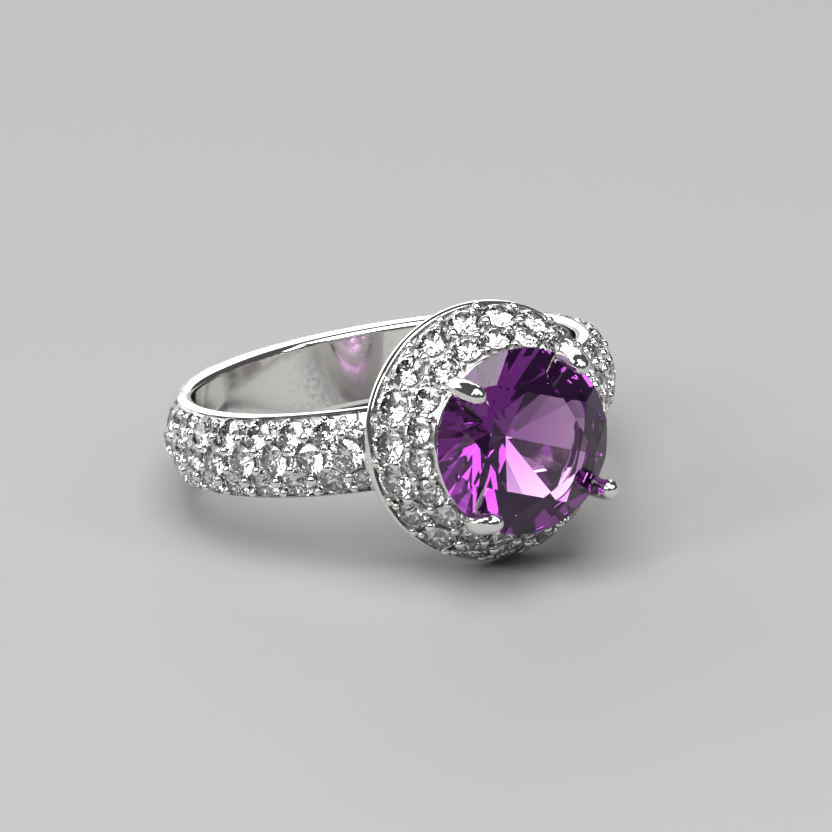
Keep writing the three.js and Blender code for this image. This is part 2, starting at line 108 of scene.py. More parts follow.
towards_camera = Vector((
    math.sin(CAMERA_AZIMUTH) * math.cos(CAMERA_HEIGHT),
    -math.cos(CAMERA_AZIMUTH) * math.cos(CAMERA_HEIGHT),
    math.sin(CAMERA_HEIGHT),
))
level_right = Vector((math.cos(CAMERA_AZIMUTH), math.sin(CAMERA_AZIMUTH), 0))
roll = Matrix.Rotation(CAMERA_ROLL, 3, towards_camera)
camera_right = roll @ level_right
camera_up = roll @ towards_camera.cross(level_right)
camera_data = bpy.data.cameras.new("camera")
camera_data.lens = CAMERA_LENS
camera_data.sensor_width = 36
camera = bpy.data.objects.new("camera", camera_data)
bpy.context.scene.collection.objects.link(camera)
camera.matrix_world = Matrix((camera_right, camera_up, towards_camera)).transposed().to_4x4()
camera.location = (
    hole_middle
    + towards_camera * CAMERA_DISTANCE
    + camera_right * CAMERA_ASIDE[0]
    + camera_up * CAMERA_ASIDE[1]
)
bpy.context.scene.camera = camera
print("camera at", [round(c, 4) for c in camera.location])

# %% [markdown]
# A few habits are needed at every step: start with nothing selected, pick one object, and lay a
# finished piece down. Laying down moves the mesh itself, so the object stays at the origin.

# %% Working habits
def start_clean():
    if bpy.context.object and bpy.context.object.mode != "OBJECT":
        bpy.ops.object.mode_set(mode="OBJECT")
    bpy.ops.object.select_all(action="DESELECT")


def pick(*objects):
    start_clean()
    for item in objects:
        item.select_set(True)
    bpy.context.view_layer.objects.active = objects[0]


def joined(objects, name):
    pick(*objects)
    if len(objects) > 1:
        bpy.ops.object.join()
    whole = bpy.context.object
    whole.name = name
    return whole


def lay_down(piece, place=Matrix.Identity(4)):
    piece.data.transform(bench_to_model @ place @ piece.matrix_basis)
    piece.matrix_basis = Matrix.Identity(4)
    piece.data.update()


def hand_in(piece, slot, *nodes):
    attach(piece, "root")
    if nodes:
        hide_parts(*nodes)


def smooth(piece, angle):
    pick(piece)
    bpy.ops.object.shade_smooth_by_angle(angle=math.radians(angle))


print("pieces of the model to stand in for:", len(frame["nodes"]))

# %% [markdown]
# Polished jewellery metal is never quite flat. The polishing wheel leaves faint waves, and wear
# leaves hair-fine scratches. All the metal shares this effect, so it is one node group: it gives a
# height for the bump, and an amount that the roughness follows.

# %% Polish and wear, a shared group
def new_group(name, inputs, outputs):
    group = bpy.data.node_groups.new(name, "ShaderNodeTree")
    for label, value in inputs.items():
        socket = group.interface.new_socket(label, in_out="INPUT", socket_type="NodeSocketFloat")
        socket.default_value = value
    for label in outputs:
        group.interface.new_socket(label, in_out="OUTPUT", socket_type="NodeSocketFloat")
    return group, group.nodes.new("NodeGroupInput"), group.nodes.new("NodeGroupOutput")


polish, polish_in, polish_out = new_group(
    "polish and wear",
    {"Wave Scale": 260.0, "Scratch Scale": 5200.0, "Least Roughness": 0.05, "Most Roughness": 0.16},
    ("Height", "Roughness"),
)
where = polish.nodes.new("ShaderNodeTexCoord")
waves = polish.nodes.new("ShaderNodeTexNoise")
waves.inputs["Detail"].default_value = 2
polish.links.new(where.outputs["Object"], waves.inputs["Vector"])
polish.links.new(polish_in.outputs["Wave Scale"], waves.inputs["Scale"])
stretch = polish.nodes.new("ShaderNodeMapping")
stretch.inputs["Rotation"].default_value = (0.6, 0.3, 0.9)
stretch.inputs["Scale"].default_value = (1, 0.06, 1)
polish.links.new(where.outputs["Object"], stretch.inputs["Vector"])
scratches = polish.nodes.new("ShaderNodeTexNoise")
scratches.inputs["Detail"].default_value = 3
polish.links.new(stretch.outputs["Vector"], scratches.inputs["Vector"])
polish.links.new(polish_in.outputs["Scratch Scale"], scratches.inputs["Scale"])
fine = polish.nodes.new("ShaderNodeMapRange")
fine.inputs["From Min"].default_value = 0.42
fine.inputs["From Max"].default_value = 0.72
polish.links.new(scratches.outputs["Fac"], fine.inputs["Value"])
polish.links.new(polish_in.outputs["Least Roughness"], fine.inputs["To Min"])
polish.links.new(polish_in.outputs["Most Roughness"], fine.inputs["To Max"])
polish.links.new(fine.outputs["Result"], polish_out.inputs["Roughness"])
both = polish.nodes.new("ShaderNodeMath")
both.operation = "MULTIPLY_ADD"
both.inputs[1].default_value = 0.08
polish.links.new(scratches.outputs["Fac"], both.inputs[0])
polish.links.new(waves.outputs["Fac"], both.inputs[2])
polish.links.new(both.outputs["Value"], polish_out.inputs["Height"])
print("group:", polish.name)

# %% [markdown]
# Rhodium-plated metal is a neutral, slightly warm white. The same metal down between the stones was
# cut back with a graver and never polished, so it is rougher there; its darker colour there is painted
# shade for the recesses between the stones.

# %% Metals
def metal(name, colour, bump, **polish_values):
    material = bpy.data.materials.new(name)
    material.use_nodes = True
    nodes, links = material.node_tree.nodes, material.node_tree.links
    shader = nodes["Principled BSDF"]
    shader.inputs["Base Color"].default_value = (*colour, 1)
    shader.inputs["Metallic"].default_value = 1
    effect = nodes.new("ShaderNodeGroup")
    effect.node_tree = polish
    for label, value in polish_values.items():
        effect.inputs[label.replace("_", " ").title()].default_value = value
    links.new(effect.outputs["Roughness"], shader.inputs["Roughness"])
    relief = nodes.new("ShaderNodeBump")
    relief.inputs["Strength"].default_value = bump
    relief.inputs["Distance"].default_value = 0.00002
    links.new(effect.outputs["Height"], relief.inputs["Height"])
    links.new(relief.outputs["Normal"], shader.inputs["Normal"])
    return material


BRIGHT = (0.88, 0.87, 0.85)
# The darker grey of the cut ground is painted shade for the recesses; its higher roughness is real.
DULL_PAINTED_SHADE = (0.62, 0.61, 0.6)
bright_metal = metal("rhodium polish", BRIGHT, 0.25, least_roughness=0.06, most_roughness=0.14)
cut_metal_painted_shade = metal("cut metal ground with painted shade", DULL_PAINTED_SHADE, 0.6, least_roughness=0.25, most_roughness=0.5)
print("metals:", bright_metal.name, "and", cut_metal_painted_shade.name)

# %% [markdown]
# A stone that has been handled carries a thin uneven film, which makes its facets a little less
# sharp in patches. Both gems share this effect, so it is a node group too. It puts out only a
# roughness, and each gem sets how strong the film may be.

# %% Handling marks, a shared group
handling, handling_in, handling_out = new_group(
    "handling marks", {"Cloud Scale": 900.0, "Least Roughness": 0.0, "Most Roughness": 0.03}, ("Roughness",)
)
where = handling.nodes.new("ShaderNodeTexCoord")
clouds = handling.nodes.new("ShaderNodeTexNoise")
handling.links.new(where.outputs["Object"], clouds.inputs["Vector"])
handling.links.new(handling_in.outputs["Cloud Scale"], clouds.inputs["Scale"])
film = handling.nodes.new("ShaderNodeMapRange")
handling.links.new(clouds.outputs["Fac"], film.inputs["Value"])
handling.links.new(handling_in.outputs["Least Roughness"], film.inputs["To Min"])
handling.links.new(handling_in.outputs["Most Roughness"], film.inputs["To Max"])
handling.links.new(film.outputs["Result"], handling_out.inputs["Roughness"])
print("group:", handling.name)

# %% [markdown]
# The stones bend light, so each is one Principled shader with full transmission. The purple one
# takes its colour inside, from an absorption that deepens with the length of each path, so thin
# corners glow violet and long paths go nearly black. The colourless brilliants have a high index,
# which gives them their hard glitter.

# %% Gem materials
def gem(name, index, tint, most_roughness, body=None, density=0.0):
    material = bpy.data.materials.new(name)
    material.use_nodes = True
    nodes, links = material.node_tree.nodes, material.node_tree.links
    shader = nodes["Principled BSDF"]
    shader.inputs["Transmission Weight"].default_value = 1
    shader.inputs["IOR"].default_value = index
    shader.inputs["Base Color"].default_value = (*tint, 1)
    effect = nodes.new("ShaderNodeGroup")
    effect.node_tree = handling
    effect.inputs["Most Roughness"].default_value = most_roughness
    links.new(effect.outputs["Roughness"], shader.inputs["Roughness"])
    if body:
        absorption = nodes.new("ShaderNodeVolumeAbsorption")
        absorption.inputs["Color"].default_value = (*body, 1)
        absorption.inputs["Density"].default_value = density
        links.new(absorption.outputs["Volume"], nodes["Material Output"].inputs["Volume"])
    return material


AMETHYST_INDEX = 1.55
BRILLIANT_INDEX = 2.2
VIOLET = (0.6, 0.11, 0.67)
amethyst = gem("amethyst", AMETHYST_INDEX, (1.0, 0.95, 1.0), 0.02, body=VIOLET, density=400)
brilliant = gem("colourless brilliant", BRILLIANT_INDEX, (0.99, 0.985, 0.995), 0.12)
print("gems:", amethyst.name, "and", brilliant.name)

# %% [markdown]
# A lapidary grinds a round brilliant from a round blank, one flat facet at a time. Bisect does the
# same: it cuts the blank along a plane, throws the outside away and fills the cut with the new
# facet. Each plane is set by three points that it has to meet, such as two places on the girdle and
# the corner of a star facet. The blank has radius 1 and is scaled to each stone later.

# %% The grinding wheel
TABLE = 0.58
CROWN_SLOPE = math.tan(math.radians(34.5))
PAVILION_DROP = math.tan(math.radians(40.75))
GIRDLE = 0.02
STAR = 0.5
LOWER_HALF = 0.78
MAINS = 8


def on_stone(radius, height, turn):
    return Vector((radius * math.cos(turn), radius * math.sin(turn), height))


def grind(a, b, c):
    flat = (b - a).cross(c - a).normalized()
    if flat.dot(a) < 0:
        flat.negate()
    bpy.ops.mesh.select_all(action="SELECT")
    bpy.ops.mesh.bisect(plane_co=a, plane_no=flat, use_fill=True, clear_outer=True, threshold=1e-5)


print("crown slope", round(CROWN_SLOPE, 3), "and pavilion slope", round(PAVILION_DROP, 3))

# %% [markdown]
# A lapidary cuts the eight mains first. Here the order doesn't matter, because the stone is simply
# what all the planes leave: the halves that touch the girdle, above and below, then the mains of
# both sides, and last the stars round the table. Where they meet, the kites and triangles appear.

# %% Cut a round brilliant
def cut_brilliant(name, sides, table):
    start_clean()
    top, bottom = GIRDLE + (1 - table) * CROWN_SLOPE, -GIRDLE - PAVILION_DROP
    bpy.ops.mesh.primitive_cylinder_add(
        vertices=sides, radius=1, depth=top - bottom, location=(0, 0, (top + bottom) / 2)
    )
    bpy.ops.object.transform_apply(location=True, rotation=False, scale=False)
    bpy.ops.object.mode_set(mode="EDIT")
    half = math.pi / MAINS
    star_out = table * math.cos(half) + STAR * (1 - table * math.cos(half))
    star_up = GIRDLE + (1 - star_out * math.cos(half)) * (top - GIRDLE) / (1 - table)
    low_out = 1 - LOWER_HALF
    low_down = -GIRDLE - (1 - low_out * math.cos(half)) * PAVILION_DROP
    mains = [2 * half * i for i in range(MAINS)]
    for main in mains:
        for side in (main - half, main + half):
            star, low = on_stone(star_out, star_up, side), on_stone(low_out, low_down, side)
            grind(on_stone(1, GIRDLE, main), on_stone(1, GIRDLE, side), star)
            grind(on_stone(1, -GIRDLE, main), on_stone(1, -GIRDLE, side), low)
    for main in mains:
        left, right = main - half, main + half
        over, under = on_stone(1, GIRDLE, main), on_stone(1, -GIRDLE, main)
        grind(on_stone(star_out, star_up, left), on_stone(star_out, star_up, right), over)
        grind(on_stone(low_out, low_down, left), on_stone(low_out, low_down, right), under)
    for main in mains:
        corner, next_corner = on_stone(table, top, main), on_stone(table, top, main + 2 * half)
        grind(corner, next_corner, on_stone(star_out, star_up, main + half))
    bpy.ops.object.mode_set(mode="OBJECT")
    stone = bpy.context.object
    stone.name = name
    print(name, "has", len(stone.data.polygons), "faces")
    return stone

# %% [markdown]
# Two blanks are enough: a fine one for the centre stone, whose girdle must look round, and later a
# plainer one that every small stone is copied from. A copy of the centre stone, a hair larger, is
# kept as the cutter that will shape the claws' notches and the bearing under the stone.

# %% Centre stone
stone_radius = bench_radius("centre_stone")
table_height = 1000 * (Vector(mounts["stone_table"]["pos_m"]) - hole_middle).length
girdle_height = table_height - stone_radius * (GIRDLE + (1 - TABLE) * CROWN_SLOPE)

centre_stone = cut_brilliant("amethyst_stone", 64, TABLE)
centre_stone.data.materials.append(amethyst)
bearing = centre_stone.copy()
bearing.data = centre_stone.data.copy()
bpy.context.scene.collection.objects.link(bearing)
BEARING_SIZE = 1.004
raised = Matrix.Translation((0, 0, girdle_height))
bearing.data.transform(raised @ Matrix.Scale(stone_radius * BEARING_SIZE, 4))
lay_down(centre_stone, head_turn @ raised @ Matrix.Scale(stone_radius, 4))
hand_in(centre_stone, "centre_stone", "centre_stone")
print("centre stone:", round(2 * stone_radius, 2), "mm across, table", round(table_height, 2), "mm up")

# %% [markdown]
# The halo is a cone of metal with a slightly domed face. A seat on it is a frame of axes: its Z
# points straight out of the metal and its middle lies where a stone's girdle will be. First comes
# the face itself: face_point gives the place at any share of the way from the rim to the lip.

# %% The halo's face
RIM_RADIUS = bench_radius("halo")
HALO_BACK = 9.42
RIM_HEIGHT = 0.2
FACE_RISE = 3.12
LIP_RADIUS = 3.77
FACE_BULGE = 0.1
face_run = RIM_RADIUS - LIP_RADIUS
face_tilt = math.atan2(face_run, FACE_RISE)


def face_point(share):
    bulge = 4 * FACE_BULGE * share * (1 - share)
    radius = RIM_RADIUS - face_run * share + bulge * math.cos(face_tilt)
    return radius, HALO_BACK + RIM_HEIGHT + FACE_RISE * share + bulge * math.sin(face_tilt)


print("the face leans", round(math.degrees(face_tilt), 1), "degrees from the stone's axis")

# %% [markdown]
# Two rows of nineteen stones stand on the face, and the outer row is turned by half a step, so that
# its stones sit in the gaps of the inner one. A row is its distance from the stone's axis and the
# stones' size.

# %% Seats on the halo
STONE_SINK = 0.1
HALO_COUNT = 19
HALO_PHASE = 68.2
INNER_ROW = (4.32, 1.35)
OUTER_ROW = (5.07, 1.55)


def seat(place, normal, along):
    side = normal.cross(along)
    axes = Matrix((along, side, normal)).transposed().to_4x4()
    axes.translation = place
    return axes


def halo_seat(radius_at, degrees, sink=STONE_SINK):
    radius, height = face_point((RIM_RADIUS - radius_at) / face_run)
    turn = math.radians(degrees)
    out = Vector((math.cos(turn), math.sin(turn), 0))
    along = Vector((-math.sin(turn), math.cos(turn), 0))
    normal = out * math.cos(face_tilt) + Vector((0, 0, math.sin(face_tilt)))
    return seat(out * radius + Vector((0, 0, height)) - normal * sink, normal, along)


halo_pitch = 360 / HALO_COUNT
inner_seats = [halo_seat(INNER_ROW[0], HALO_PHASE + halo_pitch * i) for i in range(HALO_COUNT)]
outer_seats = [halo_seat(OUTER_ROW[0], HALO_PHASE + halo_pitch * (i + 0.5)) for i in range(HALO_COUNT)]
first_low, first_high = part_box("halo_inner_stone_1")
drift = bench_to_model @ head_turn @ inner_seats[0].translation - (first_low + first_high) / 2
print("first halo seat lies", round(1000 * drift.length, 2), "mm from the model's stone")

# %% [markdown]
# The shoulders carry three rows on a half-round band. The band's shape at an angle is worked out by
# one function, which the band itself uses later too, so stones and metal always agree.

# %% The band's shape
BORE_RADIUS = 8.45
SHOULDER = {"half_width": 1.85, "side": 0.32, "dome": 1.02}
BASE = {"half_width": 1.7, "side": 1.2, "dome": 0.4}
TAPER = (100, 165)
PAD = (24, 30)
PAD_RISE = 0.55


def ease(value, start, end):
    share = min(max((value - start) / (end - start), 0), 1)
    return share * share * (3 - 2 * share)


def band_shape(degrees):
    share = ease(abs(degrees), *TAPER)
    half_width = SHOULDER["half_width"] + (BASE["half_width"] - SHOULDER["half_width"]) * share
    side = SHOULDER["side"] + (BASE["side"] - SHOULDER["side"]) * share
    dome = SHOULDER["dome"] + (BASE["dome"] - SHOULDER["dome"]) * share
    return half_width, BORE_RADIUS + side, dome + PAD_RISE * (1 - ease(abs(degrees), *PAD))


print("band measures", round(bench_radius("shank"), 2), "mm from its middle to its top")

# %% [markdown]
# A row on a shoulder starts at an angle from the purple stone and goes round in equal steps. The
# outer rows lie nearly half a step along from the middle one, and one small stone fills each corner
# beside the halo.

# %% Seats on the shoulders
ROW_PITCH = 10.2
MIDDLE_ROW = {"start": 36.9, "count": 8, "offset": 0, "size": 1.5}
EDGE_ROW = {"start": 41.2, "count": 7, "offset": 1.17, "size": 1.35}
CORNER = {"start": 33.6, "count": 1, "offset": 1.12, "size": 0.85}


def shoulder_seat(degrees, offset, sink=STONE_SINK):
    half_width, edge, dome = band_shape(degrees)
    lift = math.sqrt(1 - (offset / half_width) ** 2)
    turn = math.radians(degrees)
    out = Vector((math.sin(turn), -math.cos(turn), 0))
    along = Vector((math.cos(turn), math.sin(turn), 0))
    normal = (out * (lift / dome) + Vector((0, 0, offset / half_width**2))).normalized()
    place = out * (edge + dome * lift) + Vector((0, 0, offset)) - normal * sink
    return seat(place, normal, along)


def row_seats(row, side, sign):
    angles = [side * (row["start"] + ROW_PITCH * i) for i in range(row["count"])]
    return [shoulder_seat(angle, sign * row["offset"]) for angle in angles]


print("rows on a shoulder:", MIDDLE_ROW["count"], "and twice", EDGE_ROW["count"], "stones")

# %% [markdown]
# One small brilliant is cut, and every other is a copy with its own mesh. Setters never get two
# stones quite alike, so each copy is turned about its own axis and leans by a degree or two, which
# is what makes real paving glitter unevenly.

# %% The small stone and its setting
SMALL_TABLE = 0.56
small_brilliant = cut_brilliant("small_brilliant", 24, SMALL_TABLE)
small_brilliant.data.materials.append(brilliant)
luck = random.Random(11)
LEAN = 2.5


def set_stone(name, place, size, turn, *nodes):
    stone = small_brilliant.copy()
    stone.data = small_brilliant.data.copy()
    stone.name = name
    bpy.context.scene.collection.objects.link(stone)
    spin = Matrix.Rotation(luck.uniform(0, math.pi / 4), 4, "Z")
    lean = Matrix.Rotation(math.radians(luck.uniform(-LEAN, LEAN)), 4, "X")
    lean_too = Matrix.Rotation(math.radians(luck.uniform(-LEAN, LEAN)), 4, "Y")
    lay_down(stone, turn @ place @ lean @ lean_too @ spin @ Matrix.Scale(size / 2, 4))
    hand_in(stone, "small_stones", *nodes)


print("each small stone leans by up to", LEAN, "degrees")

# %% [markdown]
# The rows are filled one after another. The seats on the shoulders are kept with their sizes,
# because the band is drilled at the same places later.

# %% Set the small stones
for i in range(HALO_COUNT):
    for row, seats, size in (("inner", inner_seats, INNER_ROW[1]), ("outer", outer_seats, OUTER_ROW[1])):
        node = f"halo_{row}_stone_{i + 1}"
        set_stone(f"{row}_brilliant_{i + 1}", seats[i], size, head_turn, node)

shoulder_seats = {"left": [], "right": []}
upright = Matrix.Identity(4)
for hand, side in (("left", -1), ("right", 1)):
    rows = (("middle", MIDDLE_ROW, 0), ("upper", EDGE_ROW, 1), ("lower", EDGE_ROW, -1))
    for name, row, sign in rows:
        for i, place in enumerate(row_seats(row, side, sign)):
            title = f"{hand}_{name}_brilliant_{i + 1}"
            set_stone(title, place, row["size"], upright, f"{hand}_{name}_row")
            shoulder_seats[hand].append((place, row["size"]))
    for name, sign in (("upper", 1), ("lower", -1)):
        place = row_seats(CORNER, side, sign)[0]
        title, node = f"{hand}_{name}_corner_brilliant", f"{hand}_{name}_corner_stone"
        set_stone(title, place, CORNER["size"], upright, node)
        shoulder_seats[hand].append((place, CORNER["size"]))
bpy.data.objects.remove(small_brilliant)
print("small stones set:", 2 * HALO_COUNT + sum(len(seats) for seats in shoulder_seats.values()))

# %% [markdown]
# A seat is drilled with a tool a shade wider than the stone, with a cone at its tip for the
# pavilion. The drill is a cylinder whose lower face is drawn down to a point. All the drills of one
# piece are joined, and one boolean cuts every seat.

# %% The drill
SEAT_CLEARANCE = 0.015
DRILL_LENGTH = 0.7
DRILL_SHOULDER = -0.04
DRILL_POINT = 0.08
POINT_SHARE = 0.92


def drill(place, size):
    start_clean()
    radius = size / 2 + SEAT_CLEARANCE
    middle = (0, 0, DRILL_SHOULDER + DRILL_LENGTH / 2)
    bpy.ops.mesh.primitive_cylinder_add(vertices=24, radius=radius, depth=DRILL_LENGTH, location=middle)
    tool = bpy.context.object
    bpy.ops.object.transform_apply(location=True, rotation=False, scale=False)
    bpy.ops.object.mode_set(mode="EDIT")
    bpy.ops.mesh.select_mode(type="FACE")
    bpy.ops.mesh.select_all(action="DESELECT")
    bpy.ops.object.mode_set(mode="OBJECT")
    for face in tool.data.polygons:
        face.select = face.normal.z < -0.9
    bpy.ops.object.mode_set(mode="EDIT")
    depth = radius * PAVILION_DROP * POINT_SHARE
    bpy.ops.mesh.extrude_region_move(TRANSFORM_OT_translate={"value": (0, 0, -depth)})
    bpy.ops.transform.resize(value=(DRILL_POINT, DRILL_POINT, 1))
    bpy.ops.object.mode_set(mode="OBJECT")
    tool.data.transform(place)
    return tool


print("a drill is", DRILL_LENGTH, "mm long")

# %% [markdown]
# Cutting one piece with another is a Boolean modifier, which is applied at once, and the tool is
# thrown away. The exact solver copes with drills that overlap each other.

# %% Join the drills
def cut_away(piece, tool):
    pick(piece)
    change = piece.modifiers.new("cut", "BOOLEAN")
    change.operation = "DIFFERENCE"
    change.solver = "EXACT"
    change.object = tool
    bpy.ops.object.modifier_apply(modifier=change.name)
    bpy.data.objects.remove(tool)


halo_drills = [drill(place, INNER_ROW[1]) for place in inner_seats]
halo_drills += [drill(place, OUTER_ROW[1]) for place in outer_seats]
halo_drill = joined(halo_drills, "halo_drill")
band_drills = [drill(*entry) for hand in shoulder_seats.values() for entry in hand]
band_drill = joined(band_drills, "band_drill")
print("drills:", len(halo_drill.data.polygons), "and", len(band_drill.data.polygons), "faces")

# %% [markdown]
# The band is one D-shaped outline spun round the finger. The outline has arcs for its rounded inner
# edges and its dome, and close points beside each flat, which keep a polished flat looking flat.
# The two close points in the middle of its inner side do the same there.

# %% The band's outline
INNER_FILLET = 0.28
FLAT_KEEPER = 0.03
FILLET_STEPS = 6
DOME_TURNS = [90, 88, 84, 80, 77, 75, 73, 71.5, 69, 65] + list(range(60, -1, -6))
OUTLINE_AT = 60
half_width, edge, dome = band_shape(OUTLINE_AT)


def band_outline():
    points = []
    for i in range(FILLET_STEPS + 1):
        turn = math.pi / 2 * i / FILLET_STEPS
        out = BORE_RADIUS + INNER_FILLET * (1 - math.cos(turn))
        points.append((out, half_width - INNER_FILLET * (1 - math.sin(turn))))
    for degrees in DOME_TURNS:
        turn = math.radians(degrees)
        points.append((edge + dome * math.cos(turn), half_width * math.sin(turn)))
    lower = [(radius, -z) for radius, z in reversed(points[:-1])]
    flat_end = half_width - INNER_FILLET - FLAT_KEEPER
    return points + lower + [(BORE_RADIUS, -flat_end), (BORE_RADIUS, flat_end)]


print("the band's outline has", len(band_outline()), "points")

# %% [markdown]
# Band, halo and rails are all made in the same way, so the two steps are tools: lay an outline as a
# closed loop of points in the plane of X and Z, and spin it once round Z. The last step of the spin
# lies on the first, so doubles are merged, and then the faces are turned outwards.

# %% The lathe
def outline_object(points, name):
    start_clean()
    bpy.ops.mesh.primitive_circle_add(vertices=len(points), radius=1)
    line = bpy.context.object
    line.name = name
    for vertex, (out, up) in zip(line.data.vertices, points):
        vertex.co = (out, 0, up)
    return line


def spin_round(line, steps):
    pick(line)
    bpy.ops.object.mode_set(mode="EDIT")
    bpy.ops.mesh.select_all(action="SELECT")
    bpy.ops.mesh.spin(steps=steps, angle=2 * math.pi, center=(0, 0, 0), axis=(0, 0, 1))
    bpy.ops.mesh.select_all(action="SELECT")
    bpy.ops.mesh.remove_doubles(threshold=1e-4)
    bpy.ops.mesh.normals_make_consistent(inside=False)
    bpy.ops.object.mode_set(mode="OBJECT")


print("lathe ready for the band, the halo and the rails")

# %% [markdown]
# The spun band has one shape all round, so each of its points is then eased to the shape that
# belongs to its angle: wider shoulders, a slimmer base, and a ground between the stones that is cut
# back. The spin goes all the way round, so it doesn't matter which way it turns. The ground ends
# between two steps of the spin, so that rounding can't make its edge ragged.

# %% Spin the band and ease its shape
GROUND_DEPTH = 0.2
GROUND_EDGE = math.radians(72)
GROUND_ENDS = (32.5, 110.5)
SPIN_STEPS = 360
band = outline_object(band_outline(), "band_metal")
spin_round(band, SPIN_STEPS)


def eased_point(point):
    out = math.hypot(point.x, point.y)
    turn = math.atan2(point.x, -point.y)
    degrees = abs(math.degrees(turn))
    wide, edge_here, dome_here = band_shape(degrees)
    sideways = point.z / half_width
    if out > edge:
        lift = (out - edge) / dome
        out = edge_here + lift * dome_here
        paved = GROUND_ENDS[0] < degrees < GROUND_ENDS[1]
        if paved and abs(sideways) < math.sin(GROUND_EDGE):
            out -= GROUND_DEPTH
    elif out > BORE_RADIUS + INNER_FILLET + 0.01:
        out = BORE_RADIUS + (out - BORE_RADIUS) * (edge_here - BORE_RADIUS) / (edge - BORE_RADIUS)
    return Vector((out * math.sin(turn), -out * math.cos(turn), sideways * wide))


for vertex in band.data.vertices:
    vertex.co = eased_point(vertex.co)
print("the band before its seats has", len(band.data.vertices), "points")

# %% [markdown]
# The spun band is still a closed ring. It is cut flat where it meets the back of the halo, and a
# round cut the size of the gallery rail opens it and leaves its two ends. Then the seats are
# drilled.

# %% Fit the band's ends and drill it
def plain_block(size, middle, name):
    start_clean()
    bpy.ops.mesh.primitive_cube_add(size=1, location=middle)
    block = bpy.context.object
    block.name = name
    block.data.transform(Matrix.Translation(middle) @ Matrix.Diagonal((*size, 1)))
    block.location = (0, 0, 0)
    return block


def round_bar(radius, length, middle, name):
    start_clean()
    bpy.ops.mesh.primitive_cylinder_add(vertices=96, radius=radius, depth=length, location=middle)
    bpy.ops.object.transform_apply(location=True, rotation=False, scale=False)
    bar = bpy.context.object
    bar.name = name
    return bar


JOINT_GAP = 0.03
GALLERY_RADIUS = bench_radius("gallery_rail")
cut_away(band, plain_block((14, 4, 8), (0, -HALO_BACK + JOINT_GAP - 2, 0), "flat_cut"))
cope = round_bar(GALLERY_RADIUS + JOINT_GAP, 12, (0, 0, 6), "cope")
cope.data.transform(head_turn)
cut_away(band, cope)
cut_away(band, band_drill)
print("band open and drilled:", len(band.data.vertices), "points")

# %% [markdown]
# The cut-back ground and the walls of the seats get the rough cut metal, whose darker colour is
# painted shade for the recesses, and all the rest is polished. Each face chooses by where its middle lies.

# %% Polish the band
SEAT_ZONE = (30, 116)


def is_shaded_band_ground(point):
    out = math.hypot(point.x, point.y)
    degrees = abs(math.degrees(math.atan2(point.x, -point.y)))
    wide, edge_here, dome_here = band_shape(degrees)
    sideways = min(abs(point.z / wide), 1)
    surface = edge_here + dome_here * math.sqrt(1 - sideways**2)
    inside = BORE_RADIUS + 0.05 < out < surface - 0.06
    return SEAT_ZONE[0] < degrees < SEAT_ZONE[1] and inside and sideways < 0.94


# Faces in the recessed ground get the rougher metal, whose darker colour is painted shade.
def polish_and_paint_ground_shade(piece, in_shaded_ground):
    piece.data.materials.append(bright_metal)
    piece.data.materials.append(cut_metal_painted_shade)
    for face in piece.data.polygons:
        face.material_index = 1 if in_shaded_ground(face.center) else 0


polish_and_paint_ground_shade(band, is_shaded_band_ground)
smooth(band, 32)
lay_down(band)
hand_in(band, "polished_metal", "shank")
print("band:", len(band.data.polygons), "faces")

# %% [markdown]
# The halo is turned like a bowl on a lathe: one outline spun all the way round. Between its polished
# rim and its polished lip the face is cut back, and the seats go down into it. Its outline runs
# from the flat back round the rim, up the face and over the lip, and down the inside to the neck.

# %% The halo's outline
RIM_BORDER = 0.2
LIP_BORDER = 0.16
HALO_WALL = 1.74
NECK_RADIUS = 3.45
NECK_START = 1.8
NECK_END = 2.95
LIP_WIDTH = 0.17
EDGE_ROUND = 0.05
face_length = math.hypot(face_run, FACE_RISE)


def face_offset(share, depth):
    radius, height = face_point(share)
    return radius - depth * math.cos(face_tilt), height - depth * math.sin(face_tilt)


def halo_outline():
    rim_share, lip_share = RIM_BORDER / face_length, 1 - LIP_BORDER / face_length
    points = [
        (RIM_RADIUS - HALO_WALL, HALO_BACK),
        (RIM_RADIUS - HALO_WALL + 0.05, HALO_BACK),
        (RIM_RADIUS - EDGE_ROUND - 0.04, HALO_BACK),
        (RIM_RADIUS - EDGE_ROUND, HALO_BACK),
        (RIM_RADIUS - EDGE_ROUND * 0.3, HALO_BACK + EDGE_ROUND * 0.3),
        (RIM_RADIUS, HALO_BACK + EDGE_ROUND),
        (RIM_RADIUS, HALO_BACK + EDGE_ROUND + 0.02),
        (RIM_RADIUS, HALO_BACK + RIM_HEIGHT - 0.04),
        (RIM_RADIUS - 0.01, HALO_BACK + RIM_HEIGHT),
        face_offset(0.02, 0.0),
        face_offset(rim_share - 0.008, 0.0),
        face_offset(rim_share, 0.015),
        face_offset(rim_share + 0.012, GROUND_DEPTH),
    ]
    between = [rim_share + (lip_share - rim_share) * i / 12 for i in range(1, 12)]
    points += [face_offset(share, GROUND_DEPTH) for share in between]
    top = HALO_BACK + RIM_HEIGHT + FACE_RISE
    points += [
        face_offset(lip_share - 0.012, GROUND_DEPTH),
        face_offset(lip_share, 0.015),
        face_offset(lip_share + 0.008, 0.0),
        face_offset(0.99, 0.0),
        (LIP_RADIUS - 0.02, top),
        (LIP_RADIUS - LIP_WIDTH + 0.02, top - 0.005),
        (LIP_RADIUS - LIP_WIDTH, top - 0.02),
        (NECK_RADIUS, HALO_BACK + NECK_END),
        (NECK_RADIUS, HALO_BACK + NECK_END - 0.05),
        (NECK_RADIUS, HALO_BACK + NECK_START + 0.05),
        (NECK_RADIUS, HALO_BACK + NECK_START),
    ]
    return points


print("the outline has", len(halo_outline()), "points")

